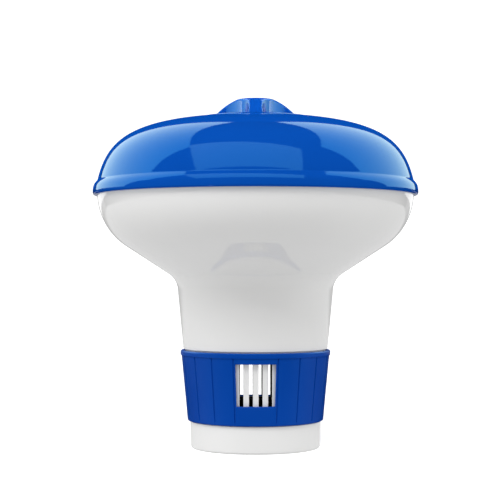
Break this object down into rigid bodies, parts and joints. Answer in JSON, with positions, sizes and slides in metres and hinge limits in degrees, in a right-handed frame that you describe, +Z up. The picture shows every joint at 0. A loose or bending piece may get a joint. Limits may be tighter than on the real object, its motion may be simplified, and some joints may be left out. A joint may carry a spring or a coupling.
{
  "type": "floating chlorine dispenser",
  "caption": "Floating pool dispenser for one-inch chlorine tablets: domed float chamber on a slotted neck, with a turning flow sleeve and a twist-lock filler cap.",
  "frame": {"origin": "centre of the foot, on the surface that the dispenser stands on", "axes": "+Z up along the axis of the float, -Y towards the window that faces the viewer, +X to the viewer's right"},
  "size_m": [0.126, 0.126, 0.135],
  "materials": {
    "dome_blue": "high gloss moulded plastic",
    "sleeve_blue": "satin moulded plastic",
    "body_white": "satin gloss moulded plastic",
    "seal_rubber": "matte moulded rubber"
  },
  "bodies": {
    "float_body": {"top_shell": "dome_blue", "bottom_shell": "body_white", "tablet_tube": "body_white", "cap_collar": "body_white", "base_cap": "body_white", "rim_seal": "seal_rubber", "tube_seal": "seal_rubber"},
    "sleeve": {"flow_sleeve": "sleeve_blue"},
    "cap_ring": {"cap_seal": "seal_rubber"},
    "cap": {"filler_cap": "dome_blue"}
  },
  "joints": [
    {"name": "sleeve_turn", "type": "hinge", "parent": "float_body", "child": "sleeve", "pos_m": [0, 0, 0.024], "axis": [0, 0, 1], "range_deg": [0, 90]},
    {"name": "cap_lift", "type": "slide", "parent": "float_body", "child": "cap_ring", "axis": [0, 0, 1], "range_m": [0, 0.045]},
    {"name": "cap_turn", "type": "hinge", "parent": "cap_ring", "child": "cap", "pos_m": [0, 0, 0.125], "axis": [0, 0, -1], "range_deg": [0, 90]}
  ]
}
